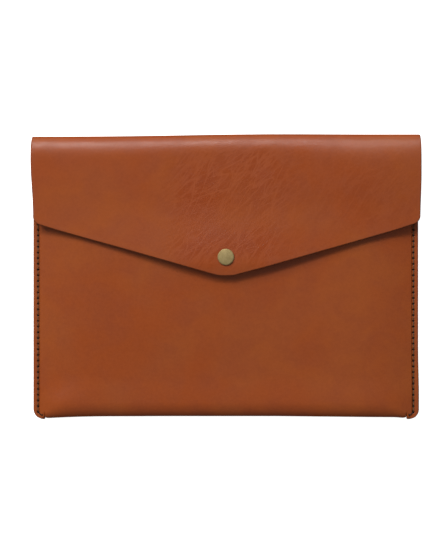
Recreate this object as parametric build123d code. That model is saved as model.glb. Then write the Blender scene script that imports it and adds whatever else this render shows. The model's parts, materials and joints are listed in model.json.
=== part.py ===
"""Leather laptop sleeve closed by a snap flap, lying on its back panel.

One strip of hide makes the whole case: the front panel, the bottom fold, the back panel,
the top fold and the flap follow each other along its length.  Waxed thread closes the two
side seams and a four-piece ring snap closes the flap.

Frame: +X across the width, +Y towards the top fold, +Z up through the thickness.  The origin
is below the middle of the bounding box, on the surface that the back panel rests on.
All lengths are in millimetres.
"""
import os
from math import asin, atan2, cos, degrees, radians, sin, tan

from build123d import *

# Leather case
LEATHER = 2.0               # thickness of the hide
LENGTH = 249.2              # from the corner ears to the outside of the top fold
BODY_WIDTH = 338.0          # over the side seams, which are trimmed after stitching
FLAP_WIDTH = 341.0          # untrimmed width of the top fold and the flap
POCKET_DEPTH = 11.7         # clear height inside the pocket
POCKET_FLAT = 153.2         # half width of the pocket at its full height
POCKET_REACH = 163.0        # half width at which the two panels meet
SEAM_Z = 7.0                # height of the face between the two stitched layers
MOUTH_SETBACK = 14.0        # from the top fold's tangent back to the front panel's free edge

# Corner ears, where the seam allowance is folded flat
EAR_DROP = 2.2              # how far the ears reach past the bottom fold
EAR_INNER_X = 158.8         # half width at which an ear starts
EAR_CORNER_R = 7.0
EAR_NOTCH_R = 1.2

# Top fold and flap
TOP_R = 9.0                 # outside radius of the top fold
FOLD_STRIPS = 4             # rigid strips that stand for the bending leather
SPLIT_GAP = 0.05            # slit between neighbouring strips
FLAP_APEX_Y = -0.5          # where the two slanted edges would meet
FLAP_SLANT = 15.8           # degrees between a slanted edge and the width
FLAP_TIP_HALF = 5.0         # half width of the blunt tip
FLAP_TIP_R = 12.0
FLAP_CORNER_R = 8.0

# Side seams
STITCH_X = 165.0            # half width of the stitch lines
STITCH_PITCH = 5.0
STITCH_COUNT = 44
FIRST_STITCH_Y = -118.8
THREAD = 1.0                # thickness of the waxed thread
HOLE = 1.2                  # side of an awl hole
CORNER_STITCH_X = 160.4     # where the last stitch goes round the ear's edge

# Ring snap
SNAP_Y = 16.75              # on the flap, measured before the flap is raised by the snap
CAP_R = 7.2
CAP_HEIGHT = 2.4
CAP_WALL = 0.5
CAP_LIP = 0.35              # thickness of the cap's edge, closed in under the post's flange
CAP_LIP_REACH = 1.0         # how far it reaches in under the flange
CAP_SLACK = 0.05            # between that edge and the flange
POST_R = 2.0
POST_BORE_R = 1.5
POST_FLANGE_R = 5.9
POST_FLARE = 1.0            # how far the post's end is spread under the socket's roof
SOCKET_R = 6.2
SOCKET_HEIGHT = 3.4
SOCKET_ROOF = 0.6
SOCKET_BORE_R = 3.6
SOCKET_BEVEL = 0.6
SPRING_LEDGE = 0.3          # below the groove
SPRING_GROOVE_R = 4.0
SPRING_GROOVE = 0.7         # height of the groove
SPRING_WIRE_R = 0.3
SPRING_R = 3.35             # to the middle of the wire
SPRING_OPENING = 40.0       # degrees left open in the ring
STUD_BASE_R = 5.0
STUD_BASE = 0.5
STUD_NECK_R = 2.6
STUD_HEAD_R = 3.2
STUD_HEIGHT = 2.9
STUD_HEAD = 1.05            # height of the head
STUD_BEVEL = 0.3
STUD_BORE_R = 1.6
EYELET_R = 1.55
EYELET_BORE_R = 1.1
EYELET_FLANGE_R = 5.5
EYELET_FLARE = 0.7          # how far the eyelet's end is spread inside the stud's head
SHEET_METAL = 0.4           # flanges and flared ends
SNAP_CLEAR = 0.3            # between the socket's rim and the stud's base
FIT = 0.1                   # radial clearance of a post in its hole

# Derived places
BODY_HEIGHT = POCKET_DEPTH + 2 * LEATHER
BOTTOM_R = BODY_HEIGHT / 2
BOTTOM_Y = EAR_DROP + BOTTOM_R - LENGTH / 2
TOP_Y = LENGTH / 2 - TOP_R
MOUTH_Y = TOP_Y - MOUTH_SETBACK
POCKET_TOP = LEATHER + POCKET_DEPTH
FLAP_UNDER = 2 * TOP_R - LEATHER
SNAP_REACH = TOP_Y - SNAP_Y
SNAP_STACK = STUD_BASE + SNAP_CLEAR + SOCKET_HEIGHT
FLAP_RAISE = degrees(asin((BODY_HEIGHT + SNAP_STACK - FLAP_UNDER) / SNAP_REACH))
STRIP_ANGLE = (180 - FLAP_RAISE) / FOLD_STRIPS
FAR = 400.0                 # longer than anything in the part


def place_box(x, y, z):
    """A box between three pairs of limits."""
    size = [limits[1] - limits[0] for limits in (x, y, z)]
    centre = [sum(limits) / 2 for limits in (x, y, z)]
    return Pos(*centre) * Box(*size)


def pocket_prism(grow):
    """The pocket's cross-section across the width, extruded along the sleeve."""
    corners = [
        (POCKET_FLAT, LEATHER),
        (POCKET_REACH, SEAM_Z),
        (POCKET_FLAT, POCKET_TOP),
        (-POCKET_FLAT, POCKET_TOP),
        (-POCKET_REACH, SEAM_Z),
        (-POCKET_FLAT, LEATHER),
    ]
    section = make_face(Polyline(*corners, close=True))
    if grow:
        section = offset(section, amount=grow, kind=Kind.INTERSECTION)
    return extrude(Plane.XZ * section, amount=FAR, both=True)


def fold_prism(radius):
    """The pocket's cross-section along its length: parallel faces and a half-round bottom."""
    straight = Pos(FAR / 2, 0) * Rectangle(FAR, 2 * radius)
    section = Pos(BOTTOM_Y, BOTTOM_R) * (Circle(radius) + straight)
    return extrude(Plane.YZ * section, amount=FAR / 2, both=True)


def seam_plate(side):
    """Both seam allowances of one side, with the ear at the bottom corner."""
    low = -LENGTH / 2
    outline = Polyline(
        (EAR_INNER_X, low),
        (BODY_WIDTH / 2, low),
        (BODY_WIDTH / 2, MOUTH_Y),
        (EAR_INNER_X, MOUTH_Y),
        close=True,
    )
    plate = make_face(outline)
    bottom = plate.vertices().filter_by(lambda v: v.Y < low + 1)
    plate = fillet(bottom.sort_by(Axis.X)[-1], EAR_CORNER_R)
    notch = plate.vertices().sort_by(lambda v: v.X + v.Y)[0]
    plate = fillet(notch, EAR_NOTCH_R)
    plate = extrude(Pos(0, 0, SEAM_Z - LEATHER) * plate, amount=2 * LEATHER)
    return plate if side > 0 else mirror(plate, about=Plane.YZ)


def stitch_rows():
    return [FIRST_STITCH_Y + STITCH_PITCH * k for k in range(STITCH_COUNT)]


def awl_holes(side):
    """The square holes of one stitch line."""
    reach = HOLE / 2
    x = side * STITCH_X
    holes = [
        place_box((x - reach, x + reach), (y - reach, y + reach), (0, BODY_HEIGHT))
        for y in stitch_rows()
    ]
    return Compound(children=holes)


def corner_loop(side, width, inner, outer):
    """The last stitch, slanted from the lowest hole round the edge of the ear."""
    start = Vector(side * STITCH_X, FIRST_STITCH_Y)
    end = Vector(side * CORNER_STITCH_X, THREAD - LENGTH / 2)
    run = end - start
    length = run.length + THREAD / 2
    solid = Box(length, width, outer * 2, align=(Align.MIN, Align.CENTER, Align.CENTER))
    if inner:
        window = Box(length - THREAD, width * 2, inner * 2, align=(Align.MIN, Align.CENTER, Align.CENTER))
        solid -= Pos((HOLE - THREAD) / 2, 0, 0) * window
    turn = degrees(atan2(run.Y, run.X))
    return Pos(start.X, start.Y, SEAM_Z) * Rot(0, 0, turn) * solid


def seam_thread(side):
    """One saddle-stitched thread: a row on each face, joined through every hole."""
    rows = stitch_rows()
    middle = (rows[0] + rows[-1]) / 2
    tall = LEATHER + THREAD
    ladder = Pos(middle, SEAM_Z) * Rectangle(rows[-1] - rows[0] + THREAD, 2 * tall)
    window = Rectangle(STITCH_PITCH - THREAD, 2 * LEATHER)
    for y in rows[:-1]:
        ladder -= Pos(y + STITCH_PITCH / 2, SEAM_Z) * window
    thread = extrude(Plane.YZ * ladder, amount=THREAD / 2, both=True)
    thread = Pos(side * STITCH_X, 0, 0) * thread
    return thread + corner_loop(side, THREAD, LEATHER, tall)


def corner_groove(side):
    """Room for the last stitch, which is pulled into the leather."""
    groove = corner_loop(side, THREAD + 2 * FIT, 0, BODY_HEIGHT)
    layers = place_box((-FAR, FAR), (-FAR, FAR), (SEAM_Z - LEATHER, SEAM_Z + LEATHER))
    x = side * CORNER_STITCH_X
    edge = place_box((x - THREAD, x + THREAD), (-FAR, 2 * THREAD - LENGTH / 2), (0, BODY_HEIGHT))
    return (groove - layers) + edge


def transition_section(y, lift, half_width):
    """The back panel's cross-section, its sides lifted to meet the seams."""
    top = lift + LEATHER
    right = [
        (POCKET_FLAT, LEATHER),
        (POCKET_REACH, top),
        (half_width, top),
        (half_width, lift),
        (POCKET_REACH, lift),
        (POCKET_FLAT, 0),
    ]
    left = [(-x, z) for x, z in reversed(right)]
    section = make_face(Polyline(*right, *left, close=True))
    return Plane(origin=(0, y, 0), x_dir=(1, 0, 0), z_dir=(0, -1, 0)) * section


def back_transition():
    """The back panel between the end of the seams and the top fold."""
    lifted = transition_section(MOUTH_Y, SEAM_Z - LEATHER, BODY_WIDTH / 2)
    flat = transition_section(TOP_Y - SPLIT_GAP, 0, FLAP_WIDTH / 2)
    return loft([lifted, flat], ruled=True)


def stitched_case():
    """Front panel, bottom fold and back panel up to the mouth, as one piece."""
    below_mouth = place_box((-FAR, FAR), (-FAR, MOUTH_Y), (-FAR, FAR))
    case = pocket_prism(LEATHER) & fold_prism(BOTTOM_R) & below_mouth
    for side in (1, -1):
        case += seam_plate(side)
    case -= pocket_prism(0) & fold_prism(BOTTOM_R - LEATHER)
    for side in (1, -1):
        case -= awl_holes(side)
        case -= corner_groove(side)
    return case


def case_panels():
    """The stitched case cut into its three panels."""
    case = stitched_case()
    above = place_box((-FAR, FAR), (BOTTOM_Y, FAR), (SEAM_Z, FAR))
    under = place_box((-FAR, FAR), (BOTTOM_Y, FAR), (-FAR, SEAM_Z))
    bottom = place_box((-FAR, FAR), (-FAR, BOTTOM_Y), (-FAR, FAR))
    front = case & above
    eyelet_hole = Cylinder(EYELET_R + FIT, FAR)
    flange_seat = Cylinder(EYELET_FLANGE_R + FIT, SHEET_METAL, align=(Align.CENTER, Align.CENTER, Align.MIN))
    front -= Pos(0, stud_y(), POCKET_TOP) * (eyelet_hole + flange_seat)
    return {
        "front_panel": front,
        "back_panel": (case & under) + back_transition(),
        "bottom_fold": case & bottom,
    }


def raised(shape):
    """Turn a piece of the flap about the top fold's axis, as far as the snap lifts it."""
    return shape.rotate(Axis((0, TOP_Y, TOP_R), (-1, 0, 0)), FLAP_RAISE)


def stud_y():
    """The stud stands under the middle of the raised socket."""
    height = FLAP_UNDER - SOCKET_HEIGHT / 2 - TOP_R
    tilt = radians(FLAP_RAISE)
    return TOP_Y - SNAP_REACH * cos(tilt) + height * sin(tilt)


def fold_strip(index):
    """One rigid strip of the bending leather, counted from the back panel."""
    gap = degrees(SPLIT_GAP / TOP_R)
    start = -90 + STRIP_ANGLE * index + gap / 2
    sweep = STRIP_ANGLE - gap
    outer = CenterArc((TOP_Y, TOP_R), TOP_R, start, sweep)
    inner = CenterArc((TOP_Y, TOP_R), TOP_R - LEATHER, start, sweep)
    ends = [Line(outer @ 0, inner @ 0), Line(outer @ 1, inner @ 1)]
    section = make_face([outer, inner, *ends])
    return extrude(Plane.YZ * section, amount=FLAP_WIDTH / 2, both=True)


def flap():
    """The flap from the top fold's tangent to its blunt tip, raised by the snap."""
    half = FLAP_WIDTH / 2
    slope = tan(radians(FLAP_SLANT))
    tip_y = FLAP_APEX_Y + slope * FLAP_TIP_HALF
    corner_y = FLAP_APEX_Y + slope * half
    top = TOP_Y - SPLIT_GAP
    right = [(half, top), (half, corner_y), (FLAP_TIP_HALF, tip_y)]
    left = [(-x, y) for x, y in reversed(right)]
    outline = make_face(Polyline(*right, *left, close=True))
    tips = outline.vertices().group_by(Axis.Y)[0]
    outline = fillet(tips, FLAP_TIP_R)
    corners = outline.vertices().filter_by(lambda v: abs(v.X) > half - 1 and v.Y < top - 1)
    outline = fillet(corners, FLAP_CORNER_R)
    outline -= Pos(0, SNAP_Y) * Circle(POST_R + FIT)
    return raised(extrude(Pos(0, 0, FLAP_UNDER) * outline, amount=LEATHER))


def turned(*points):
    """A solid of revolution about +Z from (radius, height) corners."""
    return revolve(Plane.XZ * make_face(Polyline(*points, close=True)), axis=Axis.Z)


def dome(radius, height):
    """A low dome of the given radius with an upright rim a third of its height."""
    sag = height * 2 / 3
    ball_r = (radius**2 + sag**2) / (2 * sag)
    blank = Cylinder(radius, height, align=(Align.CENTER, Align.CENTER, Align.MIN))
    return blank & (Pos(0, 0, height - ball_r) * Sphere(ball_r))


def snap_cap():
    """The domed outer shell, with its edge closed in under the post's flange."""
    hollow_r = CAP_R - CAP_WALL
    shell = dome(CAP_R, CAP_HEIGHT) - dome(hollow_r, CAP_HEIGHT - CAP_WALL)
    lip_r = POST_FLANGE_R - CAP_LIP_REACH
    lip = turned((lip_r, 0), (CAP_R, 0), (CAP_R, CAP_LIP), (lip_r, CAP_LIP))
    return on_flap(shell + lip, LEATHER)


def on_flap(shape, above_underside):
    """Place a snap piece on the flap, by its height over the flap's lower face."""
    return raised(Pos(0, SNAP_Y, FLAP_UNDER + above_underside) * shape)


def snap_cap_post():
    """The flanged tube inside the cap, flared under the socket's roof."""
    top = LEATHER + CAP_LIP + CAP_SLACK
    foot = -SOCKET_ROOF
    post = turned(
        (POST_BORE_R, foot - SHEET_METAL),
        (POST_R + POST_FLARE, foot - SHEET_METAL),
        (POST_R + POST_FLARE, foot),
        (POST_R, foot),
        (POST_R, top),
        (POST_FLANGE_R, top),
        (POST_FLANGE_R, top + SHEET_METAL),
        (POST_BORE_R, top + SHEET_METAL),
    )
    return on_flap(post, 0)


def snap_socket():
    """The female half under the flap, with a groove for its spring."""
    foot = -SOCKET_HEIGHT
    groove_low = foot + SPRING_LEDGE
    groove_high = groove_low + SPRING_GROOVE
    socket = turned(
        (POST_R + FIT, 0),
        (POST_R + FIT, -SOCKET_ROOF),
        (SOCKET_BORE_R, -SOCKET_ROOF),
        (SOCKET_BORE_R, groove_high),
        (SPRING_GROOVE_R, groove_high),
        (SPRING_GROOVE_R, groove_low),
        (SOCKET_BORE_R, groove_low),
        (SOCKET_BORE_R, foot),
        (SOCKET_R - SOCKET_BEVEL, foot),
        (SOCKET_R, foot + SOCKET_BEVEL),
        (SOCKET_R, 0),
    )
    return on_flap(socket, 0)


def snap_socket_spring():
    """The split wire ring that grips the stud under its head."""
    start = -90 + SPRING_OPENING / 2
    path = CenterArc((0, 0), SPRING_R, start, 360 - SPRING_OPENING)
    ring = sweep((path ^ 0) * Circle(SPRING_WIRE_R), path=path)
    return on_flap(ring, SPRING_LEDGE + SPRING_GROOVE / 2 - SOCKET_HEIGHT)


def snap_stud():
    """The male half on the front panel."""
    neck_top = STUD_HEIGHT - STUD_HEAD
    flare_z = STUD_HEIGHT - SHEET_METAL - FIT
    flare_r = EYELET_R + EYELET_FLARE + FIT
    stud = turned(
        (STUD_BORE_R, 0),
        (STUD_BASE_R, 0),
        (STUD_BASE_R, STUD_BASE),
        (STUD_NECK_R, STUD_BASE),
        (STUD_NECK_R, neck_top),
        (STUD_HEAD_R, neck_top + STUD_BEVEL),
        (STUD_HEAD_R, STUD_HEIGHT - STUD_BEVEL),
        (STUD_HEAD_R - STUD_BEVEL, STUD_HEIGHT),
        (flare_r, STUD_HEIGHT),
        (flare_r, flare_z),
        (STUD_BORE_R, flare_z),
    )
    return Pos(0, stud_y(), BODY_HEIGHT) * stud


def snap_stud_eyelet():
    """The eyelet behind the front panel, flared inside the stud's head."""
    foot = -LEATHER
    flare_z = STUD_HEIGHT - SHEET_METAL - FIT
    eyelet = turned(
        (EYELET_BORE_R, foot),
        (EYELET_FLANGE_R, foot),
        (EYELET_FLANGE_R, foot + SHEET_METAL),
        (EYELET_R, foot + SHEET_METAL),
        (EYELET_R, flare_z),
        (EYELET_R + EYELET_FLARE, flare_z),
        (EYELET_R + EYELET_FLARE, flare_z + SHEET_METAL),
        (EYELET_BORE_R, flare_z + SHEET_METAL),
    )
    return Pos(0, stud_y(), BODY_HEIGHT) * eyelet


def build():
    nodes = case_panels()
    for index in range(FOLD_STRIPS):
        nodes[f"top_fold_strip_{index + 1}"] = fold_strip(index)
    nodes["flap"] = flap()
    nodes["seam_thread_right"] = seam_thread(1)
    nodes["seam_thread_left"] = seam_thread(-1)
    nodes["snap_cap"] = snap_cap()
    nodes["snap_cap_post"] = snap_cap_post()
    nodes["snap_socket"] = snap_socket()
    nodes["snap_socket_spring"] = snap_socket_spring()
    nodes["snap_stud"] = snap_stud()
    nodes["snap_stud_eyelet"] = snap_stud_eyelet()
    return nodes


os.makedirs("parts", exist_ok=True)
for name, shape in build().items():
    export_step(shape, f"parts/{name}.step")

print(f"flap raised {FLAP_RAISE:.4f} deg, strips {STRIP_ANGLE:.4f} deg each, stud at y {stud_y():.4f}")
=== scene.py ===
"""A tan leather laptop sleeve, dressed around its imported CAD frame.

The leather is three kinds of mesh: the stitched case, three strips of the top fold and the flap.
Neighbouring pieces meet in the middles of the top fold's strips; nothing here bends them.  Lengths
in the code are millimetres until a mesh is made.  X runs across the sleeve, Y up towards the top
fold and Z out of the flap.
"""
import json
import math

import bpy
import numpy as np
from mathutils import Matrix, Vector


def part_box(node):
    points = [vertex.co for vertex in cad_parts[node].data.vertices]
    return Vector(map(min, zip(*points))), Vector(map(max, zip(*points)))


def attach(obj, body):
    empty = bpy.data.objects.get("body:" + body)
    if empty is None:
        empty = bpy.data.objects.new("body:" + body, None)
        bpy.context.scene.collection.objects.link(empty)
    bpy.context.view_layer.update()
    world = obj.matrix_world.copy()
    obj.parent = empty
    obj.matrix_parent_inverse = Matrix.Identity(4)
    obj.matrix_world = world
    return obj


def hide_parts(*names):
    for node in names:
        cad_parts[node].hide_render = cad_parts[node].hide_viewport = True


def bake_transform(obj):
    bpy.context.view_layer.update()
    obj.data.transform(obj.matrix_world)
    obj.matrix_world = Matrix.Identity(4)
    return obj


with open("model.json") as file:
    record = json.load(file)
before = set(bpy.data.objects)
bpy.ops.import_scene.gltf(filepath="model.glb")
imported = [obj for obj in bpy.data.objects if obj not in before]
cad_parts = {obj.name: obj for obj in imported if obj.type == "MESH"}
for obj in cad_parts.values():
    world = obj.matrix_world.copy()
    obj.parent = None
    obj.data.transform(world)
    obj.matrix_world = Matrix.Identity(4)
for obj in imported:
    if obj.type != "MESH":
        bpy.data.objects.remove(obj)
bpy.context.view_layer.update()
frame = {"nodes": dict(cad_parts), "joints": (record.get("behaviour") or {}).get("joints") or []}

MM = 0.001


def box_mm(node):
    """A CAD node's lowest and highest corners in millimetres."""
    low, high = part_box(node)
    return np.array(low) / MM, np.array(high) / MM


# ---------------------------------------------------------------- sizes from the frame

HINGES = {j["name"]: j for j in frame["joints"]}

FRONT_LOW, FRONT_HIGH = box_mm("front_panel")
CAP_LOW, CAP_HIGH = box_mm("snap_cap")
STUD_LOW, STUD_HIGH = box_mm("snap_stud")

HIDE = 2.0                                  # thickness of the leather
BODY_HALF = FRONT_HIGH[0]
FLAP_HALF = box_mm("flap")[1][0]
MOUTH_Y = FRONT_HIGH[1]
BODY_TOP = FRONT_HIGH[2]
EAR_Y = box_mm("bottom_fold")[0][1]
SEAM_Z = FRONT_LOW[2]
FOLD_Y = HINGES["fold_bend_1"]["pos_m"][1] / MM
FOLD_R = box_mm("top_fold_strip_3")[1][1] - FOLD_Y
CAP_X, CAP_Y = (CAP_LOW + CAP_HIGH)[:2] / 2
CAP_R = (CAP_HIGH[0] - CAP_LOW[0]) / 2
STUD_Y = (STUD_LOW[1] + STUD_HIGH[1]) / 2
SNAP_LIFT = STUD_LOW[2] + 4.2 - (2 * FOLD_R - HIDE)

# ---------------------------------------------------------------- shape of the case

SEAM_TOP = SEAM_Z + HIDE
SEAM_UNDER = SEAM_Z - HIDE
SEAM_INNER = 163.4                          # half width at which the panels leave each other
STITCH_X = 164.8
STITCH_PITCH = 5.0
FIRST_STITCH_Y = -118.8
STITCH_COUNT = 44
PIT_R = 1.1                                 # radius of the dent at each stitch hole
PIT_DEPTH = 1.0
EAR_LEFT_R = 9.2                            # the corners of the ears are cut by hand
EAR_RIGHT_R = 8.8
NOTCH_X = 159.1                             # where the last stitch pulls the bottom edge in
NOTCH_DEPTH = 3.2
NOTCH_HALF = 0.9
EAR_LOW = EAR_Y - 0.5                       # lowest line of the ears, a little past the CAD's
EAR_RUN = 1.0                               # width over which the notch passes into the ear
BOTTOM_Y = EAR_Y + 2.2                      # outermost line of the bottom fold
FOLD_DEEPER = 0.6                           # how much deeper than a half circle that fold is
BEND_START_Y = -88.0                        # below this the rows of the mesh gather to the fold
EDGE_ROUND = 0.9                            # radius that the cut edges are rubbed to
EDGE_STEPS = [0.0, 0.08, 0.22, 0.45, 0.9, 1.5]

# The lower outline's droop left and right of the middle: size, start and length of each part.
LEFT_STEP, LEFT_STEP_FROM, LEFT_STEP_RUN = 0.15, 50, 40
LEFT_DROOP, LEFT_DROOP_FROM, LEFT_DROOP_RUN, LEFT_DROOP_POWER = 1.65, 92, 64, 2.4
RIGHT_SLOPE, RIGHT_SLOPE_FROM, RIGHT_SLOPE_RUN = 0.0105, 45, 115
RIGHT_STEP, RIGHT_STEP_FROM, RIGHT_STEP_RUN = 0.4, 148, 8

# The front panel: its slope towards the seams is wide and soft, narrow and steep near the fold.
SLOPE_WIDTH, SLOPE_NARROWED = 60, 36
SLOPE_POWER, SLOPE_STRAIGHTENED = 2.3, 0.8
FACET_FROM, FACET_RUN = -84, 28
FACET_RIGHT = 0.4                           # the facet above the right ear is fainter
HOLLOW_LEFT, HOLLOW_MORE = 0.9, 0.3         # the panel hangs in over the empty pocket
HOLLOW_X, HOLLOW_X_RUN = -40, 120
HOLLOW_Y, HOLLOW_Y_RUN = -113, 26
DIP_DEPTH, DIP_PLACE, DIP_SPREAD = 0.4, (0, -76), (130, 20)
SNAP_STIFFENED_R = 20.0                     # the snap holds the panel flat around itself
BACK_SLOPE_WIDTH, BACK_SLOPE_POWER = 26, 2.0
FLARE, FLARE_FROM, FLARE_RUN = 0.7, -60, 45     # the right side widens towards its ear

# Sides of the flap: width added at the fold, width lost further down, from where and over what run.
LEFT_SIDE = (-0.05, 2.2, 10, 52)
RIGHT_SIDE = (0.18, 0.94, 25, 45)
LEFT_FOLD_IN, LEFT_FOLD_RUN = 0.5, 8            # the left end of the fold is narrower still

# How far up the hand-made fold lies off its place, changing from left to right.
OFF_MIDDLE, OFF_SIZE, OFF_X, OFF_RUN = -0.35, 1.25, -40, 70
OFF_RIGHT, OFF_RIGHT_FROM, OFF_RIGHT_RUN = 0.45, 30, 100
OFF_FROM_Y, OFF_RUN_Y = 20, 80


def ease(t):
    """Smooth step from 0 to 1."""
    t = np.clip(t, 0.0, 1.0)
    return t * t * (3 - 2 * t)


def hump(x, y, place, spread):
    """A round hump of height 1 at a place, with its half widths along X and Y."""
    return np.exp(-(((x - place[0]) / spread[0]) ** 2) - ((y - place[1]) / spread[1]) ** 2)


def swell(x, width, power):
    """0 at the seam, 1 from width inside it, steepest at the seam."""
    t = np.clip((SEAM_INNER - np.abs(x)) / width, 0.0, 1.0)
    return 1 - (1 - t) ** power


def bottom_edge(x):
    """The sleeve's lower outline: nearly straight, pulled in by the last stitches."""
    side = np.abs(x)
    droop = np.clip((side - LEFT_DROOP_FROM) / LEFT_DROOP_RUN, 0, 1) ** LEFT_DROOP_POWER
    left = LEFT_STEP * ease((side - LEFT_STEP_FROM) / LEFT_STEP_RUN) + LEFT_DROOP * droop
    right = RIGHT_SLOPE * np.clip(side - RIGHT_SLOPE_FROM, 0, RIGHT_SLOPE_RUN)
    right = right + RIGHT_STEP * ease((side - RIGHT_STEP_FROM) / RIGHT_STEP_RUN)
    drop = np.where(x > 0, right, left)
    ear = (BOTTOM_Y - drop - EAR_LOW) * ease((side - NOTCH_X - 0.4) / EAR_RUN)
    notch = NOTCH_DEPTH * np.exp(-(((side - NOTCH_X + 0.1) / NOTCH_HALF) ** 2))
    return BOTTOM_Y - drop - ear + notch


def case_top(x, y):
    """Height of the front panel's grain side."""
    facet = np.where(x > 0, FACET_RIGHT, 1.0) * ease((FACET_FROM - y) / FACET_RUN)
    rise = swell(x, SLOPE_WIDTH - SLOPE_NARROWED * facet, SLOPE_POWER - SLOPE_STRAIGHTENED * facet)
    hollow = HOLLOW_LEFT + HOLLOW_MORE * ease((x - HOLLOW_X) / HOLLOW_X_RUN)
    hollow = hollow * ease((y - HOLLOW_Y) / HOLLOW_Y_RUN) * rise
    hollow += DIP_DEPTH * hump(x, y, DIP_PLACE, DIP_SPREAD)
    beside_snap = 1 - np.exp(-(x**2 + (y - STUD_Y) ** 2) / SNAP_STIFFENED_R**2)
    return SEAM_TOP + (BODY_TOP - SEAM_TOP) * rise - hollow * beside_snap


def case_under(x, y):
    """Height of the back panel's grain side, which lies on the table."""
    lift = SEAM_UNDER * (1 - ease((y - MOUTH_Y + 6) / (FOLD_Y - MOUTH_Y + 4)))
    return lift * (1 - swell(x, BACK_SLOPE_WIDTH, BACK_SLOPE_POWER))


def fold_reach(x):
    """Half height of the bottom fold and how far it reaches past the panels."""
    y = BOTTOM_Y + 11
    half = (case_top(x, y) - case_under(x, y)) / 2
    reach = half * (1 + FOLD_DEEPER * ease((half - HIDE) / 4))
    return half, reach


def side_edge(x, y):
    """Half width of the top fold and the flap, whose sides are cut a little unevenly."""
    down = FOLD_Y - y

    def side(added, lost, start, run):
        return FLAP_HALF + added - lost * ease((down - start) / run)

    left = side(*LEFT_SIDE) - LEFT_FOLD_IN * ease(-down / LEFT_FOLD_RUN)
    return np.where(x > 0, side(*RIGHT_SIDE), left)


def case_half_width(x, y):
    """Half width of the stitched body, wider again above the seams and cut round at the ears."""
    upper = side_edge(x, np.maximum(y, FOLD_Y))
    widen = (upper - BODY_HALF) * ease((y - MOUTH_Y) / (FOLD_Y - MOUTH_Y))
    flare = np.where(x > 0, FLARE, 0.0) * ease((FLARE_FROM - y) / FLARE_RUN)
    radius = np.where(x > 0, EAR_RIGHT_R, EAR_LEFT_R)
    down = np.clip(EAR_LOW + radius - y, 0, radius)
    cut = radius - np.sqrt(radius**2 - down**2)
    return BODY_HALF + widen + flare - cut


def settle(points):
    """The small unevenness of a hand-made fold: its left end lies a little lower."""
    x, y = points[..., 0], points[..., 1]
    off = OFF_MIDDLE + OFF_SIZE * np.tanh((x - OFF_X) / OFF_RUN)
    off = off - OFF_RIGHT * ease((x - OFF_RIGHT_FROM) / OFF_RIGHT_RUN)
    points[..., 1] += off * ease((y - OFF_FROM_Y) / OFF_RUN_Y)
    return points


# ---------------------------------------------------------------- shape of the flap

FLAP_APEX_Y = -0.9                          # where the two slopes would meet
FLAP_TURN = math.radians(15.8)              # how far each slope is turned from straight across
FLAP_SLOPE = math.tan(FLAP_TURN)
TIP_HALF = 8.2                              # half width of the blunt tip
TIP_CUT = 6.4                               # the tip is as high as the slopes this far out
CORNER_R = 8.0
RIGHT_CUT_LOW = 0.5                         # the slopes are cut a little low by hand
LEFT_CUT_LOW = 0.25

ROUND_ENDS, ROUND_LESS = 25, 6              # the top fold's rounding, shorter near the middle
ROUND_X, ROUND_SPREAD = 5, 55
LIFT_FROM, LIFT_RUN = 0.48, 0.66            # the flap rises to the snap, as shares of the way there
TIP_BOWED, TIP_FROM, TIP_RUN = 0.27, 1.04, 0.14
LIFT_HALF_RIGHT, LIFT_HALF_LEFT = 140, 118
DROOP, DROOP_FROM, DROOP_RUN, DROOP_DOWN = 0.5, 92, 78, 45
PRESSED, PRESSED_R = 0.25, 9.0              # the cap presses the leather in around itself
PUFFS = [                                   # height, place and spread of the flap's soft bulges
    (0.35, (-16, 27), (17, 13)),
    (0.6, (-110, 97), (70, 34)),
    (2.0, (130, 93), (62, 34)),
]


def flap_edge(x):
    """The flap's lower outline: a wide V with a blunt tip and rounded corners."""
    side = np.abs(x)
    straight = FLAP_APEX_Y + FLAP_SLOPE * side
    tip_y = FLAP_APEX_Y + FLAP_SLOPE * TIP_CUT
    blunt = np.clip(side / TIP_HALF, 0, 1)
    rounded = tip_y + (FLAP_APEX_Y + FLAP_SLOPE * TIP_HALF - tip_y) * blunt**3
    edge = np.where(side < TIP_HALF, rounded, straight)
    edge -= RIGHT_CUT_LOW * ease((x - 12) / 30) * ease((162 - x) / 14)
    edge -= LEFT_CUT_LOW * ease((-x - 95) / 30) * ease((162 + x) / 14)
    centre_x = FLAP_HALF - CORNER_R
    centre_y = FLAP_APEX_Y + FLAP_SLOPE * centre_x + CORNER_R / math.cos(FLAP_TURN)
    arc_start = centre_x + CORNER_R * math.sin(FLAP_TURN)
    along = np.clip(side - centre_x, 0, CORNER_R)
    arc = centre_y - np.sqrt(CORNER_R**2 - along**2)
    return np.where(side > arc_start, arc, edge)


def fold_reach_top(x):
    """How far in from the sleeve's end the top fold rounds onto the flap."""
    return ROUND_ENDS - ROUND_LESS * np.exp(-(((x - ROUND_X) / ROUND_SPREAD) ** 2))


def flap_top(x, y):
    """Height of the flap's grain side."""
    down = np.maximum(FOLD_Y - y, 0)
    t = down / (FOLD_Y - STUD_Y)
    across = np.exp(-((x / np.where(x > 0, LIFT_HALF_RIGHT, LIFT_HALF_LEFT)) ** 2))
    rise = ease((t - LIFT_FROM) / LIFT_RUN) / ease((1 - LIFT_FROM) / LIFT_RUN)
    lift = SNAP_LIFT * (rise - TIP_BOWED * ease((t - TIP_FROM) / TIP_RUN)) * across
    side = ease((np.abs(x) - DROOP_FROM) / DROOP_RUN)
    droop = DROOP * side * (1 - np.exp(-((down / DROOP_DOWN) ** 3)))
    pressed = PRESSED * np.exp(-((np.hypot(x - CAP_X, y - CAP_Y) / PRESSED_R) ** 4))
    puffed = sum(height * hump(x, y, place, spread) for height, place, spread in PUFFS)
    return 2 * FOLD_R + lift - droop - pressed + puffed


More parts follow.
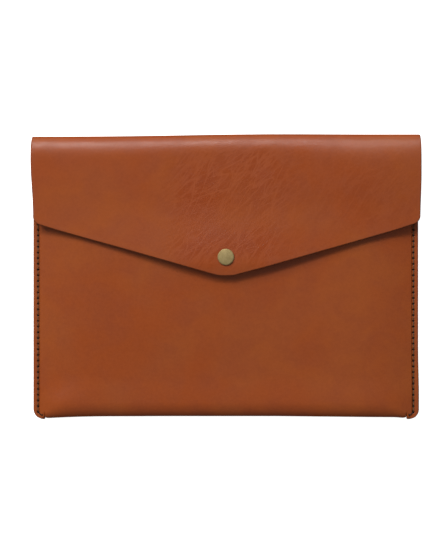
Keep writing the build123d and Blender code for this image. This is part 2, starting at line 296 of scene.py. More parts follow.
CREASES = [                                 # place, spread and strength of the creased patches
    ((-22, 80), (30, 34), 1.0),
    ((24, 100), (22, 16), 0.8),
    ((36, 72), (26, 30), 0.7),
    ((24, 26), (26, 16), 0.9),
    ((-24, 24), (26, 14), 0.9),
    ((125, 74), (50, 34), 0.45),
]


def creased(x, y):
    """How strongly the leather of the flap is creased, from 0 to 1."""
    patches = sum(strength * hump(x, y, place, spread) for place, spread, strength in CREASES)
    return np.minimum(0.08 + patches, 1.0)


def widened(x, y):
    """Places across the flap, moved so that its sides follow side_edge."""
    return x + np.sign(x) * (side_edge(x, y) - FLAP_HALF) * (np.abs(x) / FLAP_HALF) ** 4


# ---------------------------------------------------------------- mesh building


def stepped(low, high, step, edges=(True, True)):
    """Places from low to high, about step apart and close together at the chosen ends."""
    start = [low + s for s in EDGE_STEPS] if edges[0] else [low]
    end = [high - s for s in reversed(EDGE_STEPS)] if edges[1] else [high]
    count = max(1, round((end[0] - start[-1]) / step))
    middle = np.linspace(start[-1], end[0], count + 1)[1:-1]
    return np.array([*start, *middle, *end])


def grid_normals(grid):
    """Unit normals of a grid of points, rows running down and columns to the right."""
    across = np.empty_like(grid)
    across[:, 1:-1] = grid[:, 2:] - grid[:, :-2]
    across[:, 0] = grid[:, 1] - grid[:, 0]
    across[:, -1] = grid[:, -1] - grid[:, -2]
    down = np.empty_like(grid)
    down[1:-1] = grid[2:] - grid[:-2]
    down[0] = grid[1] - grid[0]
    down[-1] = grid[-1] - grid[-2]
    normal = np.cross(down, across)
    return normal / np.maximum(np.linalg.norm(normal, axis=-1, keepdims=True), 1e-9)


def rubbed(distance, radius=EDGE_ROUND):
    """How much of half the hide's thickness is rubbed off this far from a cut edge."""
    inside = np.clip(radius - distance, 0, radius)
    return radius - np.sqrt(radius**2 - inside**2)


def mesh_object(name, vertices, faces, attributes, material):
    """A smooth-shaded mesh from millimetres, with named point attributes.

    Its places at rest are kept as an attribute too, so that patterns stay put when it bends.
    """
    mesh = bpy.data.meshes.new(name)
    places = np.asarray(vertices) * MM
    mesh.from_pydata(places.tolist(), [], [tuple(map(int, f)) for f in faces])
    rest = mesh.attributes.new("rest_place", "FLOAT_VECTOR", "POINT")
    rest.data.foreach_set("vector", places.astype(np.float32).ravel())
    for key, values in attributes.items():
        attribute = mesh.attributes.new(key, "FLOAT", "POINT")
        attribute.data.foreach_set("value", np.asarray(values, np.float32).ravel())
    mesh.polygons.foreach_set("use_smooth", [True] * len(mesh.polygons))
    mesh.materials.append(material)
    mesh.update()
    piece = bpy.data.objects.new(name, mesh)
    bpy.context.scene.collection.objects.link(piece)
    return piece


def sharpen_ends(mesh, rows, columns, joined):
    """Marks the ends where a sheet runs on into the next piece, so its shading runs on too."""
    last = (rows - 1) * columns
    ends = set()
    for layer in (0, rows * columns):
        if joined[0]:
            ends |= {(layer + i, layer + i + 1) for i in range(columns - 1)}
        if joined[1]:
            ends |= {(layer + last + i, layer + last + i + 1) for i in range(columns - 1)}
    pairs = np.empty(len(mesh.edges) * 2, np.int64)
    mesh.edges.foreach_get("vertices", pairs)
    pairs = np.sort(pairs.reshape(-1, 2), axis=1)
    sharp = mesh.attributes.new("sharp_edge", "BOOLEAN", "EDGE")
    sharp.data.foreach_set("value", [tuple(pair) in ends for pair in pairs.tolist()])


def hide_sheet(
    name, grid, edge, material, pits=None, lap=None, creases=None, joined=(False, False)
):
    """A sheet of hide with its grain side up, around a grid of mid-thickness points.

    edge is each point's distance from the nearest cut edge.  pits is how deep the grain side is
    dented at each point, and creases how strongly it is creased.  lap is True where the flesh
    side lies on another layer, so only the grain side's edge is rubbed round.  joined tells
    whether the sheet runs on into the next piece at its first and last row; the grid then has
    one row more there, which is only used for the direction of the surface.
    """
    keep = slice(int(joined[0]), len(grid) - int(joined[1]))
    normal = grid_normals(grid)[keep]
    grid, edge = grid[keep], edge[keep]
    off = rubbed(edge)
    dents = np.zeros(edge.shape) if pits is None else pits[keep]
    under = off if lap is None else np.where(lap[keep], 0.0, off)
    creases = np.zeros(edge.shape) if creases is None else creases[keep]
    half = HIDE / 2
    grain = grid + normal * (half - off - dents)[..., None]
    flesh = grid - normal * (half - under)[..., None]
    rows, columns = edge.shape
    index = np.arange(rows * columns).reshape(rows, columns)
    quad = np.stack([index[:-1, :-1], index[1:, :-1], index[1:, 1:], index[:-1, 1:]], -1)
    quad = quad.reshape(-1, 4)
    below = quad[:, ::-1] + rows * columns
    loop = np.concatenate([index[0, :-1], index[:-1, -1], index[-1, :0:-1], index[:0:-1, 0]])
    after = np.roll(loop, -1)
    rim = np.stack([loop, after, after + rows * columns, loop + rows * columns], -1)
    points = np.concatenate([settle(grain).reshape(-1, 3), settle(flesh).reshape(-1, 3)])
    attributes = {
        "cut_edge": np.concatenate([edge.ravel(), edge.ravel()]),
        "flesh": np.concatenate([np.zeros(edge.size), np.ones(edge.size)]),
        # the dents' depth, which the leather also uses to paint shade into the stitch holes
        "pit": np.concatenate([dents.ravel(), np.zeros(edge.size)]),
        "crease": np.concatenate([creases.ravel(), np.zeros(edge.size)]),
    }
    sheet = mesh_object(name, points, np.concatenate([quad, below, rim]), attributes, material)
    sharpen_ends(sheet.data, rows, columns, joined)
    return sheet


NOSE = 17.0                                 # long half axis of the oval at the top fold's end
NOSE_END = 50.0                             # station where the oval passes into the flap's curve
END_STEP = 0.3                              # degrees between the last rows at a joint


def stations(start, end, count):
    """Stations from start to end, closer together towards both ends."""
    share = (1 - np.cos(np.linspace(0, math.pi, count))) / 2
    return start + (end - start) * share


def ring_rows(places, columns):
    """Mid-thickness points of the top fold at some of its stations.

    Stations run from -90 at the back panel through 0 at the sleeve's end to 90 at the flap.
    The lower half is round, the upper half starts as an oval and then runs out into the flap.
    """
    angle = np.radians(places)[:, None] + 0 * columns
    x = np.broadcast_to(columns, angle.shape)
    thin = HIDE / 2
    reach = np.where(angle < 0, FOLD_R, NOSE) - thin
    y = FOLD_Y + FOLD_R - thin - reach * (1 - np.cos(angle))
    z = FOLD_R + (FOLD_R - thin) * np.sin(angle)
    turn = math.radians(NOSE_END)
    y0 = FOLD_Y + FOLD_R - thin - (NOSE - thin) * (1 - math.cos(turn))
    z0 = FOLD_R + (FOLD_R - thin) * math.sin(turn)
    y1 = FOLD_Y + FOLD_R - fold_reach_top(x)
    z1 = flap_top(x, y1) - thin
    run = y0 - y1
    slope0 = (FOLD_R - thin) / (NOSE - thin) / math.tan(turn) * run
    slope1 = (flap_top(x, y1) - flap_top(x, y1 + 0.1)) / 0.1 * run
    s = np.clip((angle - turn) / (math.pi / 2 - turn), 0, 1)
    curve = z0 + (z1 - z0) * s * s * (3 - 2 * s)
    curve = curve + slope0 * s * (1 - s) ** 2 - slope1 * s * s * (1 - s)
    beyond = angle > turn
    y = np.where(beyond, y0 - run * s, y)
    return np.stack([x, y, np.where(beyond, curve, z)], -1)


def stitch_rows():
    """Places of the stitch holes along a seam."""
    return FIRST_STITCH_Y + STITCH_PITCH * np.arange(STITCH_COUNT)


def panel_rows():
    """Rows of the front and back panels, close together around each pair of stitch holes."""
    around = np.array([-1.0, -0.55, 0, 0.55, 1.0, 2.5])
    rows = (stitch_rows()[:, None] + around).ravel()
    rows = rows[rows < MOUTH_Y - 2.5]
    ends = [MOUTH_Y - s for s in reversed(EDGE_STEPS)]
    start = EAR_Y + HIDE + np.arange(5) * 0.6
    return np.sort(np.array([*start, *rows, *ends]))[::-1]


def case_columns():
    """Columns of the case: fine at the edges and stitch lines, wide in the middle."""
    dents = STITCH_X + np.array([-1.3, -1.0, -0.7, -0.35, 0, 0.35, 0.7, 1.0, 1.4])
    inward = [0, 0.9, 1.9, 2.6, 3.1, 3.6, 4.1, 4.8, 6.0, 7.6, 9.5, 12, 15.5, 20]
    slope = SEAM_INNER - np.array(inward)
    wide = np.linspace(10, SEAM_INNER - 25, 12)
    edge = [BODY_HALF - s for s in EDGE_STEPS]
    half = np.unique(np.round(np.array([*wide, *slope, *dents, *edge]), 4))
    return np.array([*(-half[::-1]), 0.0, *half])


def stitch_dents(x, y):
    """Depth of the awl holes' mouths and of the shallow groove that the thread lies in."""
    rows = stitch_rows()
    k = np.clip(np.round((y - rows[0]) / STITCH_PITCH), 0, STITCH_COUNT - 1)
    dx = np.abs(x) - STITCH_X
    r = np.hypot(dx, y - (rows[0] + STITCH_PITCH * k))
    pit = PIT_DEPTH * np.clip(1 - (r / PIT_R) ** 2, 0, 1) ** 0.7
    run = (y > rows[0] - 1) & (y < rows[-1] + 1)
    groove = 0.15 * np.exp(-((dx / 0.8) ** 2)) * run
    last_x, last_y = NOTCH_X + 1.5, EAR_Y + 2.9
    last = PIT_DEPTH * np.exp(-(((np.abs(x) - last_x) / 0.8) ** 2) - ((y - last_y) / 1.0) ** 2)
    return np.maximum(np.maximum(pit, groove), last)


def build_case(material, fold_end):
    """Front panel, bottom fold, back panel and the first half strip of the top fold."""
    columns = case_columns()
    panel = panel_rows()
    half, reach = fold_reach(columns)
    centre_y = bottom_edge(columns) + reach
    ear_centre = EAR_Y + HIDE
    y = np.broadcast_to(panel[:, None], (len(panel), len(columns))).copy()
    squeeze = (centre_y - BEND_START_Y) / (ear_centre - BEND_START_Y)
    y = np.where(y < BEND_START_Y, BEND_START_Y + (y - BEND_START_Y) * squeeze, y)
    x = np.broadcast_to(columns, y.shape)
    front = np.stack([x, y, case_top(x, y) - HIDE / 2], -1)
    back = np.stack([x, y, case_under(x, y) + HIDE / 2], -1)[::-1]
    middle_z = (case_top(x, y)[-1] + case_under(x, y)[-1]) / 2
    angle = np.radians(np.linspace(90, -90, 23))[1:-1, None]
    fold = np.stack(
        [
            np.broadcast_to(columns, (len(angle), len(columns))),
            centre_y - (reach - HIDE / 2) * np.cos(angle),
            middle_z + (half - HIDE / 2) * np.sin(angle),
        ],
        -1,
    )
    above = np.linspace(MOUTH_Y, FOLD_Y, 14)[1:-1, None] + 0 * columns
    x_above = np.broadcast_to(columns, above.shape)
    upper = np.stack([x_above, above, case_under(x_above, above) + HIDE / 2], -1)
    ring = ring_rows([*stations(-90, fold_end, 12), fold_end + END_STEP], columns)
    grid = np.concatenate([front, fold, back, upper, ring])
    outer_y = grid[..., 1].copy()
    outer_y[len(front): len(front) + len(fold)] -= HIDE / 2 * np.cos(angle)
    fixed = NOTCH_X + 0.1
    side = np.abs(grid[..., 0])
    limit = case_half_width(grid[..., 0], outer_y)
    limit[-len(ring):] = side_edge(ring[..., 0], ring[..., 1])
    stretch = fixed + (side - fixed) * (limit - fixed) / (BODY_HALF - fixed)
    grid[..., 0] = np.sign(grid[..., 0]) * np.where(side > fixed, stretch, side)
    edge = limit - np.abs(grid[..., 0])
    mouth = np.full(edge.shape, 99.0)
    mouth[: len(front)] = MOUTH_Y - grid[: len(front), :, 1]
    edge = np.minimum(edge, mouth)
    lap = (np.abs(grid[..., 0]) > SEAM_INNER - 1) & (grid[..., 1] < MOUTH_Y)
    pits = stitch_dents(grid[..., 0], grid[..., 1])
    stitched = np.zeros(edge.shape, bool)
    stitched[: len(front)] = True
    stitched[len(front) + len(fold): len(front) + len(fold) + len(back)] = True
    pits = np.where(stitched, pits, 0.0)
    return hide_sheet(
        "case_leather", grid, edge, material, pits=pits, lap=lap, joined=(False, True)
    )


def flap_columns():
    """Columns of the flap and the top fold."""
    return stepped(-FLAP_HALF, FLAP_HALF, 2.0)


def build_fold(name, material, start, end):
    """One strip of the top fold, from the middle of one CAD strip to the middle of the next."""
    columns = flap_columns()
    grid = ring_rows([start - END_STEP, *stations(start, end, 19), end + END_STEP], columns)
    edge = FLAP_HALF - np.abs(grid[..., 0])
    grid[..., 0] = widened(grid[..., 0], grid[..., 1])
    return hide_sheet(name, grid, edge, material, joined=(True, True))


def outline_distance(x, y):
    """Distance of each point of the flap from its cut outline."""
    across = np.linspace(-FLAP_HALF, FLAP_HALF, 1600)
    lower = np.stack([across, flap_edge(across)], -1)
    flat = np.stack([x.ravel(), y.ravel()], -1)
    nearest = np.empty(len(flat))
    for start in range(0, len(flat), 2000):
        part = flat[start: start + 2000, None]
        nearest[start: start + 2000] = np.sqrt(((part - lower) ** 2).sum(-1).min(-1))
    return np.minimum(nearest.reshape(x.shape), FLAP_HALF - np.abs(x))


def build_flap(material, fold_start):
    """The last half strip of the top fold and the flap down to its tip."""
    columns = flap_columns()
    first = fold_start + np.array([-END_STEP, 0, END_STEP, 1, 2])
    ring = ring_rows([*first, *np.linspace(NOSE_END + 1.5, 90, 14)[:-1]], columns)
    share = 1 - stepped(0.0, 100.0, 1.6, edges=(True, False))[::-1] / 100.0
    low = flap_edge(columns)
    high = FOLD_Y + FOLD_R - fold_reach_top(columns)
    y = high + share[:, None] * (low - high)
    x = np.broadcast_to(columns, y.shape)
    panel = np.stack([x, y, flap_top(x, y) - HIDE / 2], -1)
    edge = np.concatenate([FLAP_HALF - np.abs(ring[..., 0]), outline_distance(x, y)])
    grid = np.concatenate([ring, panel])
    grid[..., 0] = widened(grid[..., 0], grid[..., 1])
    creases = creased(grid[..., 0], grid[..., 1])
    return hide_sheet("flap_leather", grid, edge, material, creases=creases, joined=(True, False))


# ---------------------------------------------------------------- stitching

THREAD_R = 0.46


def tube(path, radius, sides=10):
    """Points and faces of a tube along a path of points."""
    path = np.asarray(path, float)
    tangent = np.gradient(path, axis=0)
    tangent /= np.linalg.norm(tangent, axis=1, keepdims=True)
    helper = np.array([1.0, 0.0, 0.0])
    side = np.cross(tangent, helper)
    side /= np.linalg.norm(side, axis=1, keepdims=True)
    other = np.cross(tangent, side)
    turn = np.linspace(0, 2 * math.pi, sides, endpoint=False)
    cos, sin = np.cos(turn)[None, :, None], np.sin(turn)[None, :, None]
    ring = cos * side[:, None] + sin * other[:, None]
    points = (path[:, None] + radius * ring).reshape(-1, 3)
    faces = []
    for i in range(len(path) - 1):
        for j in range(sides):
            a, b = i * sides + j, i * sides + (j + 1) % sides
            faces.append((a, b, b + sides, a + sides))
    return points, faces


def stitch_path(start, end, surface, outward, slant):
    """One stitch from hole to hole over a face at height surface."""
    t = np.linspace(0, 1, 15)
    dive = np.exp(-t / 0.075) + np.exp(-(1 - t) / 0.075)
    x = start[0] + (end[0] - start[0]) * t + slant * (2 * t - 1)
    y = start[1] + (end[1] - start[1]) * t
    z = surface + outward * (0.12 - 1.25 * dive)
    return np.stack([x, y, z], -1)


def corner_path(side):
    """The last stitch: from the lowest front hole round the ear's edge to the back hole."""
    low = [
        (STITCH_X, FIRST_STITCH_Y, SEAM_TOP - 1.0),
        (STITCH_X - 0.7, FIRST_STITCH_Y - 0.6, SEAM_TOP + 0.05),
        (STITCH_X - 2.2, FIRST_STITCH_Y - 1.7, SEAM_TOP + 0.3),
        (NOTCH_X + 1.8, EAR_Y + 3.1, SEAM_TOP + 0.1),
        (NOTCH_X + 0.8, EAR_Y + 2.5, SEAM_TOP - 0.6),
        (NOTCH_X + 0.4, EAR_Y + 2.2, SEAM_Z),
    ]
    front = np.array(low)
    back = front[-2::-1].copy()
    back[:, 2] = 2 * SEAM_Z - back[:, 2]
    points = np.concatenate([front, back])
    points[:, 0] *= side
    return smooth_path(points, 40)


def smooth_path(points, count):
    """A Catmull-Rom curve through the points."""
    padded = np.concatenate([[2 * points[0] - points[1]], points, [2 * points[-1] - points[-2]]])
    place = np.linspace(0, len(points) - 1 - 1e-6, count)
    k = place.astype(int)
    t = (place - k)[:, None]
    a, b, c, d = padded[k], padded[k + 1], padded[k + 2], padded[k + 3]
    square = 2 * a - 5 * b + 4 * c - d
    cube = 3 * b - 3 * c + d - a
    return 0.5 * (2 * b + (c - a) * t + square * t**2 + cube * t**3)


def build_thread(name, side, material):
    """All the stitches of one side seam, on both faces."""
    rng = np.random.default_rng(7 if side > 0 else 11)
    points, faces, sunk_shade, offset = [], [], [], 0
    rows = stitch_rows()
    x = side * STITCH_X
    paths = [corner_path(side)]
    for low, high in zip(rows[:-1], rows[1:]):
        slant = 0.16 * side + rng.normal(0, 0.04)
        paths.append(stitch_path((x, low), (x, high), SEAM_TOP, 1, slant))
        paths.append(stitch_path((x, low), (x, high), SEAM_UNDER, -1, -slant))
    for path in paths:
        ring_points, ring_faces = tube(path, THREAD_R + rng.normal(0, 0.012))
        # The thread is painted darker near each hole it dives into, and along all of the corner
        # stitch: painted shade.
        from_end = np.minimum(np.abs(path[:, 1] - path[0, 1]), np.abs(path[:, 1] - path[-1, 1]))
        shade_share = 1 - ease((from_end - 0.55) / 0.7)
        shade_share = np.maximum(shade_share, 0.8) if len(sunk_shade) == 0 else shade_share
        sunk_shade.append(np.repeat(shade_share, len(ring_points) // len(path)))
        points.append(ring_points)
        faces += [tuple(i + offset for i in face) for face in ring_faces]
        offset += len(ring_points)
    attributes = {"sunk_shade": np.concatenate(sunk_shade)}
    return mesh_object(name, np.concatenate(points), faces, attributes, material)


# ---------------------------------------------------------------- snap


def lathe(name, profile, material, segments=96):
    """A turned piece about Z from (radius, height) points; the first and last lie on the axis."""
    profile = np.asarray(profile, float)
    turn = np.linspace(0, 2 * math.pi, segments, endpoint=False)
    inner = profile[1:-1]
    ring = np.stack(
        [
            inner[:, None, 0] * np.cos(turn),
            inner[:, None, 0] * np.sin(turn),
            np.broadcast_to(inner[:, None, 1], (len(inner), segments)),
        ],
        -1,
    ).reshape(-1, 3)
    ends = [(0, 0, profile[0, 1]), (0, 0, profile[-1, 1])]
    first, last = len(ring), len(ring) + 1
    faces = []
    for j in range(segments):
        k = (j + 1) % segments
        faces.append((first, k, j))
        for i in range(len(inner) - 1):
            a, b = i * segments, (i + 1) * segments
            faces.append((a + j, a + k, b + k, b + j))
        b = (len(inner) - 1) * segments
        faces.append((last, b + j, b + k))
    return mesh_object(name, np.concatenate([ring, ends]), faces, {}, material)


CAP_TILT = math.radians(2.26)               # how much the cap leans with the flap
RIM_ROUND = 1.35                            # radius of the cap's rolled rim


def build_cap(material):
    """The cap: a nearly flat crown inside a soft rolled rim."""
    height = CAP_HIGH[2] - CAP_LOW[2] - 2 * CAP_R * math.sin(CAP_TILT) * 0.9
    rim = 0.3 * height
    rise = 0.5 * height
    profile = [(0, 0.02), (CAP_R - 0.5, 0.02), (CAP_R - 0.14, 0.1), (CAP_R, 0.34)]
    for angle in np.radians(np.arange(0, 75, 8)):
        profile.append((CAP_R - RIM_ROUND * (1 - math.cos(angle)), rim + rise * math.sin(angle)))
    radius, low = profile[-1]
    for share in np.linspace(0.93, 0, 12):
        profile.append((radius * share, low + (height - low) * (1 - share**2)))
    cap = lathe("snap_cap_dome", profile, material)
    cos, sin = math.cos(CAP_TILT), math.sin(CAP_TILT)
    tilt = np.array([[1, 0, 0], [0, cos, sin], [0, -sin, cos]])
    points = np.array([v.co for v in cap.data.vertices]) / MM
    foot = flap_top(np.array(CAP_X), np.array(CAP_Y))
    points = points @ tilt.T + np.array([CAP_X, CAP_Y, foot - 0.05])
    cap.data.vertices.foreach_set("co", (points * MM).ravel())
    return cap


# ---------------------------------------------------------------- materials


class Graph:
    """Builds a material's node graph."""

    def __init__(self, name):
        self.material = bpy.data.materials.new(name)
        self.material.use_nodes = True
        self.tree = self.material.node_tree
        self.tree.nodes.clear()

    def node(self, kind, inputs=None, **settings):
        node = self.tree.nodes.new("ShaderNode" + kind)
        for key, value in settings.items():
            setattr(node, key, value)
        for key, value in (inputs or {}).items():
            if isinstance(value, bpy.types.NodeSocket):
                self.tree.links.new(value, node.inputs[key])
            else:
                node.inputs[key].default_value = value
        return node

    def math(self, operation, a, b=0.0, clamp=False):
        return self.node("Math", {0: a, 1: b}, operation=operation, use_clamp=clamp).outputs[0]

    def span(self, value, low, high, to_low=0.0, to_high=1.0):
        """Maps low..high to to_low..to_high with soft ends."""
        inputs = {"Value": value, "From Min": low, "From Max": high}
        inputs |= {"To Min": to_low, "To Max": to_high}
        return self.node("MapRange", inputs, interpolation_type="SMOOTHSTEP").outputs[0]

    def mix(self, share, a, b, blend="MIX"):
        node = self.node("Mix", data_type="RGBA", blend_type=blend)
        for index, value in ((0, share), (6, a), (7, b)):
            if isinstance(value, bpy.types.NodeSocket):
                self.tree.links.new(value, node.inputs[index])
            else:
                node.inputs[index].default_value = value
        return node.outputs[2]

    def place(self):
        return self.node("TexCoord").outputs["Object"]

    def turned(self, place, angle, stretch):
        """Coordinates turned about Z and stretched, for patterns that run one way."""
        turn = self.node("Mapping", {"Vector": place, "Rotation": (0, 0, math.radians(angle))})
        return self.node("Mapping", {"Vector": turn.outputs[0], "Scale": stretch}).outputs[0]

    def noise(self, place, size_mm, detail=3.0, rough=0.5, warp=0.0):
        inputs = {"Vector": place, "Scale": 1 / (size_mm * MM)}
        inputs |= {"Detail": detail, "Roughness": rough, "Distortion": warp}
        return self.node("TexNoise", inputs).outputs[0]

    def cells(self, place, size_mm):
        """Distance from the borders between irregular cells."""
        inputs = {"Vector": place, "Scale": 1 / (size_mm * MM)}
        return self.node("TexVoronoi", inputs, feature="DISTANCE_TO_EDGE").outputs["Distance"]

    def attribute(self, name, output="Fac"):
        return self.node("Attribute", attribute_name=name).outputs[output]

    def bump(self, height, depth_mm, strength=1.0, normal=None):
        inputs = {"Height": height, "Distance": depth_mm * MM, "Strength": strength}
        if normal is not None:
            inputs["Normal"] = normal
        return self.node("Bump", inputs).outputs[0]

    def finish(self, **inputs):
        shader = self.node("BsdfPrincipled")
        for key, value in inputs.items():
            socket = shader.inputs[key.replace("_", " ")]
            if isinstance(value, bpy.types.NodeSocket):
                self.tree.links.new(value, socket)
            else:
                socket.default_value = value
        output = self.node("OutputMaterial")
        self.tree.links.new(shader.outputs[0], output.inputs[0])
        return self.material


WHITE = (1.0, 1.0, 1.0, 1.0)


def colour(red, green, blue):
    """A linear colour from 0-255 display values."""
    def linear(c):
        c /= 255
        return c / 12.92 if c <= 0.04045 else ((c + 0.055) / 1.055) ** 2.4
    return (linear(red), linear(green), linear(blue), 1.0)


GRAIN_CELL = 0.85                           # size of the grain's cells
TAN_DEEP = (130, 57, 16)
TAN_WARM = (132, 63, 22)
TAN_CLOUD = (120, 50, 14)
TAN_SPECK = (164, 84, 40)
TAN_CREASED = (122, 46, 6)
# painted highlight along the crease lines
CREASE_HIGHLIGHT = (172, 98, 62)
TAN_GRAIN = (92, 40, 18)
EDGE_BURNISHED = (60, 26, 12)
EDGE_HANDLED = (110, 62, 44)
SUEDE_DARK = (150, 96, 62)
SUEDE_PALE = (188, 134, 96)
# painted shade inside the stitch holes
HOLE_SHADE = (22, 9, 6)
THREAD_DARK, THREAD_PALE = (60, 38, 22), (98, 70, 44)
# the second colour here is painted shade for the thread inside the holes
THREAD_FUZZ, THREAD_SHADE = (112, 84, 56), (20, 10, 7)
BRASS_PALE, BRASS_DULL = (184, 162, 112), (164, 143, 95)
BRASS_BRUSHED = (200, 184, 150)
STEEL_DARK, STEEL_PALE = (150, 150, 152), (205, 205, 208)
LONG_CREASES = [(-60, 9, 0.055), (-38, 8, 0.055)]   # direction, size and width of the lines
HAIR_CREASES = [(-55, 6, 0.03), (-20, 6, 0.03)]


def crease_lines(g, place, angle, size_mm, width):
    """Thin lines that wander along one direction."""
    field = g.noise(g.turned(place, angle, (0.2, 1.0, 1.0)), size_mm, 2.0, 0.45, 0.5)
    away = g.math("ABSOLUTE", g.math("SUBTRACT", field, 0.5))
    return g.span(away, 0.0, width, 1.0, 0.0)


def leather():
    """Smooth vegetable-tanned hide: mottled, finely grained, with rubbed dark edges, painted shade
    in the stitch holes and a painted highlight along its crease lines.
    """
    g = Graph("leather")
    place = g.attribute("rest_place", "Vector")
    broad = g.noise(place, 70, 2.0, 0.5, 0.4)
    cloud = g.noise(place, 22, 4.0, 0.55, 0.3)
    speck = g.noise(place, 2.2, 3.0, 0.6)
    tan = g.mix(g.span(broad, 0.35, 0.65), colour(*TAN_DEEP), colour(*TAN_WARM))
    tan = g.mix(g.span(cloud, 0.3, 0.75, 0.0, 0.55), tan, colour(*TAN_CLOUD))
    tan = g.mix(g.span(speck, 0.3, 0.7, 0.0, 0.10), tan, colour(*TAN_SPECK))
    lines = g.math("MAXIMUM", *[crease_lines(g, place, *line) for line in LONG_CREASES])
    hairs = g.math("MAXIMUM", *[crease_lines(g, place, *line) for line in HAIR_CREASES])
    lines = g.math("MAXIMUM", lines, g.math("MULTIPLY", hairs, 0.7))
    crease = g.math("MULTIPLY", lines, g.attribute("crease"))
    tan = g.mix(g.math("MULTIPLY", g.attribute("crease"), 0.6), tan, colour(*TAN_CREASED))
    # The crease lines are painted lighter: a painted highlight along them.
    tan = g.mix(g.math("MULTIPLY", crease, 0.15), tan, colour(*CREASE_HIGHLIGHT))
    pores = g.span(g.cells(place, GRAIN_CELL), 0.0, 0.16)
    tan = g.mix(g.span(pores, 0.0, 1.0, 0.12, 0.0), tan, colour(*TAN_GRAIN))
    edge = g.attribute("cut_edge")
    tan = g.mix(g.span(edge, 0.2, 0.85, 0.8, 0.0), tan, colour(*EDGE_BURNISHED))
    tan = g.mix(g.span(edge, 1.0, 5.0, 0.10, 0.0), tan, colour(*EDGE_HANDLED))
    flesh = g.span(g.attribute("flesh"), 0.4, 0.9)
    fibre = g.noise(g.turned(place, 20, (1.0, 3.0, 1.0)), 1.2, 6.0, 0.7, 0.6)
    suede = g.mix(fibre, colour(*SUEDE_DARK), colour(*SUEDE_PALE))
    tan = g.mix(flesh, tan, suede)
    # The mouths of the stitch holes are painted near black: painted shade inside the holes, deeper
    # than the dents.
    pit = g.span(g.attribute("pit"), 0.16, 0.42)
    tan = g.mix(pit, tan, colour(*HOLE_SHADE))
    fine = g.math("ADD", g.math("MULTIPLY", pores, 0.5), g.math("MULTIPLY", speck, 0.5))
    height = g.bump(g.noise(place, 14, 3.0, 0.5), 0.35, 0.5)
    height = g.bump(crease, -0.05, 0.9, height)
    fine = g.math("MULTIPLY", fine, g.math("SUBTRACT", 1.0, flesh))
    height = g.bump(fine, 0.045, 0.6, height)
    height = g.bump(g.math("MULTIPLY", fibre, flesh), 0.25, 0.8, height)
    rough = g.span(cloud, 0.3, 0.7, 0.335, 0.415)
    rough = g.math("ADD", rough, g.math("MULTIPLY", flesh, 0.4), clamp=True)
    return g.finish(Base_Color=tan, Roughness=rough, Normal=height, Specular_IOR_Level=0.5)


def waxed_thread():
    """Dark olive-brown thread with plies under the wax, and painted shade where it enters the
    holes.
    """
    g = Graph("waxed_thread")
    place = g.place()
    inputs = {"Vector": g.turned(place, 35, (1.0, 1.0, 1.0)), "Scale": 320.0, "Distortion": 0.6}
    ply = g.node("TexWave", inputs, wave_type="BANDS", bands_direction="Y").outputs[1]
    fuzz = g.noise(place, 0.6, 3.0)
    tone = g.mix(g.span(ply, 0.2, 0.9), colour(*THREAD_DARK), colour(*THREAD_PALE))
    tone = g.mix(g.span(fuzz, 0.3, 0.7, 0.0, 0.3), tone, colour(*THREAD_FUZZ))
    # painted shade on the thread where it dives into the holes
    tone = g.mix(g.attribute("sunk_shade"), tone, colour(*THREAD_SHADE))
    height = g.bump(ply, 0.12, 0.8)
    return g.finish(Base_Color=tone, Roughness=0.55, Normal=height)


def antique_brass():
    """Satin brass, darkened in patches and brushed by handling."""
    g = Graph("antique_brass")
    place = g.place()
    patch = g.noise(place, 3.5, 4.0, 0.6)
    scratch = g.noise(g.turned(place, 30, (14.0, 1.0, 1.0)), 2.4, 4.0, 0.6)
    tone = g.mix(g.span(patch, 0.3, 0.75), colour(*BRASS_PALE), colour(*BRASS_DULL))
    tone = g.mix(g.span(scratch, 0.55, 0.7, 0.0, 0.3), tone, colour(*BRASS_BRUSHED))
    rough = g.span(patch, 0.3, 0.7, 0.56, 0.64)
    height = g.bump(scratch, 0.012, 0.5)
    return g.finish(Base_Color=tone, Metallic=0.65, Roughness=rough, Normal=height)


def spring_wire():
    """Bright drawn steel wire with fine lines along it."""
    g = Graph("spring_wire")
    lines = g.noise(g.turned(g.place(), 0, (1.0, 1.0, 12.0)), 0.5, 2.0)
    tone = g.mix(lines, colour(*STEEL_DARK), colour(*STEEL_PALE))
    return g.finish(Base_Color=tone, Metallic=1.0, Roughness=0.3, Normal=g.bump(lines, 0.01, 0.5))


def pale_floor():
    """A pale floor, lit evenly enough to run on into the background."""
    g = Graph("pale_floor")
    tone = g.mix(g.noise(g.place(), 300, 1.0), (0.93, 0.93, 0.93, 1), (0.95, 0.95, 0.95, 1))
    return g.finish(Base_Color=tone, Roughness=0.9, Emission_Color=WHITE, Emission_Strength=0.8)


# ---------------------------------------------------------------- assembly


FOLD_MIDDLES = [-67.8, -22.8, 11.5, 49.0]   # stations near the middles of the four CAD strips
BEND_INSET = 0.75                           # each bend starts and ends this far inside its piece
SKEW = 0.0065                               # how much further up the fold lies per mm to the right
PANEL_STOP = 3.5                            # the bend ends this far down the panels


def fold_point(station):
    """The point in the middle of the hide at a station of the top fold."""
    return settle(ring_rows([station], np.zeros(1)))[0, 0]


def bend(piece, start, end):
    """Works out where a piece's bend between two bodies starts and ends, and bakes its transform.

    The fold's rows are askew by SKEW, so the direction of the bend is turned to stand square to
    them, and it starts and ends BEND_INSET inside the piece.  The ends are not used: nothing bends
    the piece.
    """
    run = end - start
    inset = BEND_INSET * run / np.linalg.norm(run)
    start, end = start + inset, end - inset
    end[0] = start[0] - SKEW * (end[1] - start[1])
    start, end = (start * MM).tolist(), (end * MM).tolist()
    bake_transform(piece)


hide = leather()
thread = waxed_thread()
brass = antique_brass()
steel = spring_wire()

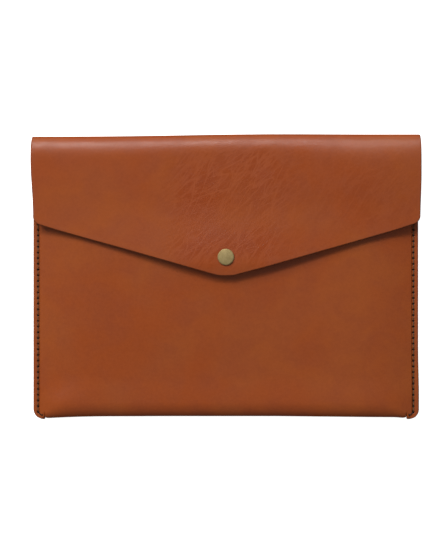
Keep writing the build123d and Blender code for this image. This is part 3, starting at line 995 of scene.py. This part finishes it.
case = build_case(hide, FOLD_MIDDLES[0])
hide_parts("back_panel", "bottom_fold", "front_panel")
back_start = np.array([0.0, FOLD_Y - PANEL_STOP, HIDE / 2])
bend(case, back_start, fold_point(FOLD_MIDDLES[0]))

for k, (start, end) in enumerate(zip(FOLD_MIDDLES[:-1], FOLD_MIDDLES[1:])):
    strip = build_fold(f"fold_leather_{k + 1}", hide, start, end)
    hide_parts(f"top_fold_strip_{k + 1}")
    bend(strip, fold_point(start), fold_point(end))

flap = build_flap(hide, FOLD_MIDDLES[3])
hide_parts("top_fold_strip_4", "flap")
flap_end = np.array([0.0, FOLD_Y - PANEL_STOP, 2 * FOLD_R - HIDE / 2])
bend(flap, fold_point(FOLD_MIDDLES[3]), flap_end)

for name, side in (("seam_stitches_left", -1), ("seam_stitches_right", 1)):
    stitches = build_thread(name, side, thread)
    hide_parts(name.replace("stitches", "thread"))
    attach(stitches, "case")

cap = build_cap(brass)
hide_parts("snap_cap")
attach(cap, "flap")

for node in ("snap_cap_post", "snap_socket", "snap_stud", "snap_stud_eyelet"):
    frame["nodes"][node].data.materials[0] = brass
frame["nodes"]["snap_socket_spring"].data.materials[0] = steel

# ---------------------------------------------------------------- floor, light and camera


FLOOR_REACH = 6.0
FLOOR_BELOW = 0.0002                        # keeps the floor off the back panel's plane

WINDOW_PLACE, WINDOW_SIZE = (-1.42, 1.82, 1.82), (1.6, 1.6)
WINDOW_POWER, GLINT_POWER = 79, 20
STRIP_PLACE, STRIP_SIZE, STRIP_POWER = (-0.3, 1.93, 1.83), (1.5, 0.34), 28
WALL_PLACE, WALL_SIZE, WALL_POWER = (0.1, 2.3, 0.4), (2.4, 0.6), 5
WORLD_STRENGTH = 0.45


def build_floor():
    """The floor under the sleeve, which neither tints the leather nor shows in it."""
    mesh = bpy.data.meshes.new("floor")
    reach = FLOOR_REACH
    corners = [(-reach, -reach, 0), (reach, -reach, 0), (reach, reach, 0), (-reach, reach, 0)]
    mesh.from_pydata(corners, [], [(0, 1, 2, 3)])
    mesh.materials.append(pale_floor())
    floor = bpy.data.objects.new("floor", mesh)
    floor.location.z = -FLOOR_BELOW
    floor.visible_diffuse = False
    floor.visible_glossy = False
    bpy.context.scene.collection.objects.link(floor)


def area_light(name, place, target, size, power):
    """A soft rectangular light that faces the target."""
    light = bpy.data.lights.new(name, "AREA")
    light.shape = "RECTANGLE"
    light.size, light.size_y = size
    light.energy = power
    lamp = bpy.data.objects.new(name, light)
    lamp.location = place
    lamp.rotation_euler = (Vector(target) - Vector(place)).to_track_quat("-Z", "Y").to_euler()
    bpy.context.scene.collection.objects.link(lamp)
    return lamp


build_floor()
window = area_light("window", WINDOW_PLACE, (0, 0, 0), WINDOW_SIZE, WINDOW_POWER)
window.visible_glossy = False
area_light("window_glint", WINDOW_PLACE, (0, 0, 0), WINDOW_SIZE, GLINT_POWER)
area_light("top_strip", STRIP_PLACE, (0, 0.1, 0), STRIP_SIZE, STRIP_POWER)
area_light("back_wall", WALL_PLACE, (0, 0.12, 0), WALL_SIZE, WALL_POWER)

world = bpy.data.worlds.new("studio")
world.cycles_visibility.glossy = False
world.use_nodes = True
backdrop = world.node_tree.nodes["Background"]
backdrop.inputs["Color"].default_value = WHITE
backdrop.inputs["Strength"].default_value = WORLD_STRENGTH
bpy.context.scene.world = world
bpy.context.scene.view_settings.view_transform = "Standard"

CAMERA_X, CAMERA_Y = -0.00506, 0.00159
CAMERA_HEIGHT = 1.3                         # above the seams
VIEW_HEIGHT = 0.4828                        # height of what the picture shows at the seams
camera = bpy.data.cameras.new("camera")
camera.sensor_fit = "VERTICAL"
camera.sensor_height = 24.0
camera.lens = camera.sensor_height * CAMERA_HEIGHT / VIEW_HEIGHT
camera.clip_end = 20.0
viewer = bpy.data.objects.new("camera", camera)
viewer.location = (CAMERA_X, CAMERA_Y, CAMERA_HEIGHT + SEAM_TOP * MM)
bpy.context.scene.collection.objects.link(viewer)
bpy.context.scene.camera = viewer
